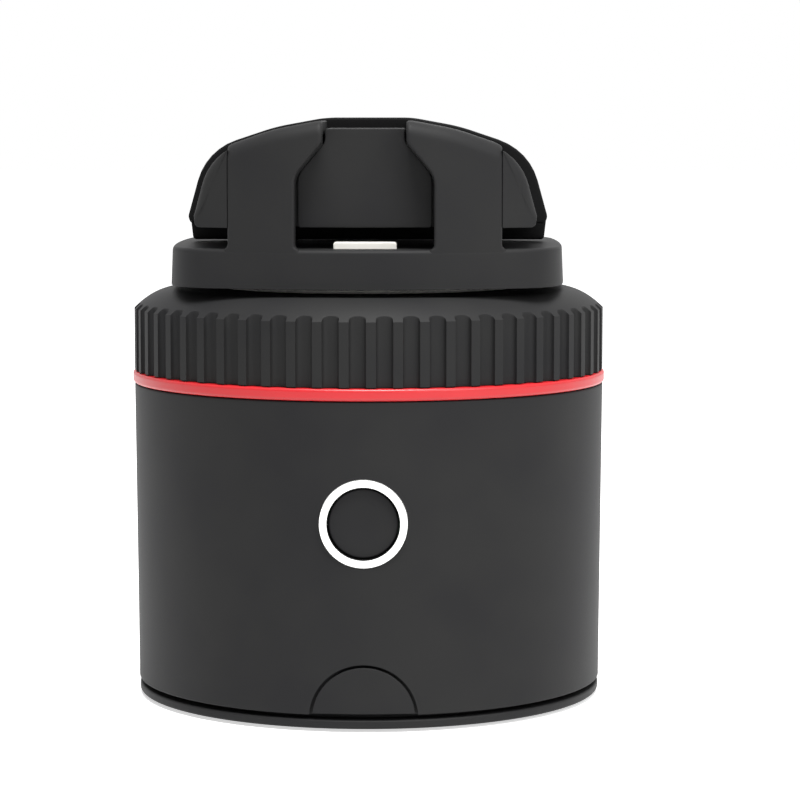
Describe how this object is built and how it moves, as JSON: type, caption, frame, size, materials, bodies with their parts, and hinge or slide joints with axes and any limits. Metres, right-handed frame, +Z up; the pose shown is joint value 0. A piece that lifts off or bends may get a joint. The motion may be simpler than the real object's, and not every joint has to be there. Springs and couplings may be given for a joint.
{
  "type": "auto-tracking phone mount",
  "caption": "Pocket rotating phone mount: round body with a lit push button and a knurled collar, and a turning head with a sprung pinch clamp for a phone.",
  "frame": {"origin": "centre of the foot ring's underside", "axes": "+Z up along the turning axis, -Y the push button's side, +X to the right of it"},
  "size_m": [0.0728, 0.0728, 0.0889],
  "materials": {
    "soft_touch_plastic": "soft-touch moulding",
    "rubber": "matte moulded rubber",
    "red_plastic": "satin moulded",
    "light_guide": "diffusing, opal",
    "steel": "satin",
    "brass": "turned",
    "acetal": "moulded",
    "circuit_board": "solder mask",
    "cell_wrap": "shrink wrap",
    "blackened_steel": "blackened",
    "lead_insulation": "extruded"
  },
  "bodies": {
    "base": {"foot_ring": "rubber", "base_plate": "soft_touch_plastic", "tripod_bush": "brass", "base_screw_1": "steel", "base_screw_2": "steel", "base_screw_3": "steel", "base_screw_4": "steel", "body_shell": "soft_touch_plastic", "accent_ring": "red_plastic", "grip_cover": "soft_touch_plastic", "cover_screw_1": "steel", "cover_screw_2": "steel", "cover_screw_3": "steel", "cover_screw_4": "steel", "chassis_plate": "blackened_steel", "motor_can": "blackened_steel", "motor_screw_1": "steel", "motor_screw_2": "steel", "idler_axle": "steel", "main_board": "circuit_board", "board_screw_left": "steel", "board_screw_right": "steel", "port_socket": "steel", "battery": "cell_wrap", "battery_tray": "soft_touch_plastic", "button_board": "circuit_board", "tact_switch": "blackened_steel", "light_ring": "light_guide", "bearing_outer_race": "steel", "thrust_washer": "acetal", "motor_lead": "lead_insulation", "battery_lead": "lead_insulation", "button_lead": "lead_insulation"},
    "head": {"head_shell": "soft_touch_plastic", "head_base": "blackened_steel", "hub_gear": "acetal", "gear_lock_ring": "brass", "bearing_inner_race": "steel", "retaining_clip": "steel", "front_jaw_plate": "soft_touch_plastic", "front_pad": "rubber", "index_mark": "acetal", "guide_rod_left": "steel", "guide_rod_right": "steel", "head_screw_1": "steel", "head_screw_2": "steel", "head_screw_3": "steel", "jaw_spring_left": "steel", "jaw_spring_right": "steel"},
    "jaw": {"rear_jaw": "soft_touch_plastic", "rear_pad": "rubber"},
    "idler": {"idler_gear": "acetal"},
    "rotor": {"motor_shaft": "steel", "motor_pinion": "brass"},
    "cage": {"ball_cage": "steel"},
    "button": {"button_cap": "soft_touch_plastic"},
    "flap": {"port_flap": "soft_touch_plastic"}
  },
  "joints": [
    {"name": "head_turn", "type": "hinge", "parent": "base", "child": "head", "pos_m": [0, 0, 0], "axis": [0, 0, 1], "continuous": true},
    {"name": "idler_spin", "type": "hinge", "parent": "base", "child": "idler", "pos_m": [0.021, 0, 0], "axis": [0, 0, 1], "continuous": true},
    {"name": "motor_spin", "type": "hinge", "parent": "base", "child": "rotor", "pos_m": [0.015, 0.008, 0], "axis": [0, 0, 1], "continuous": true},
    {"name": "cage_spin", "type": "hinge", "parent": "base", "child": "cage", "pos_m": [0, 0, 0], "axis": [0, 0, 1], "continuous": true},
    {"name": "jaw_slide", "type": "slide", "parent": "head", "child": "jaw", "axis": [0, 1, 0], "range_m": [0, 0.011], "stiffness_N_per_m": 500, "springref_m": -0.004, "deforming": ["jaw_spring_left", "jaw_spring_right"]},
    {"name": "button_press", "type": "slide", "parent": "base", "child": "button", "axis": [0, 1, 0], "range_m": [0, 0.0004], "stiffness_N_per_m": 2000},
    {"name": "flap_hinge", "type": "hinge", "parent": "base", "child": "flap", "pos_m": [0, -0.0352, 0.0034], "axis": [1, 0, 0], "range_deg": [0, 100], "stiffness_Nm_per_rad": 0.0005, "springref_deg": -17.19}
  ],
  "couplings": [
    {"joint": "idler_spin", "follows": "head_turn", "ratio": -4},
    {"joint": "motor_spin", "follows": "head_turn", "ratio": 12},
    {"joint": "cage_spin", "follows": "head_turn", "ratio": 0.4491}
  ]
}
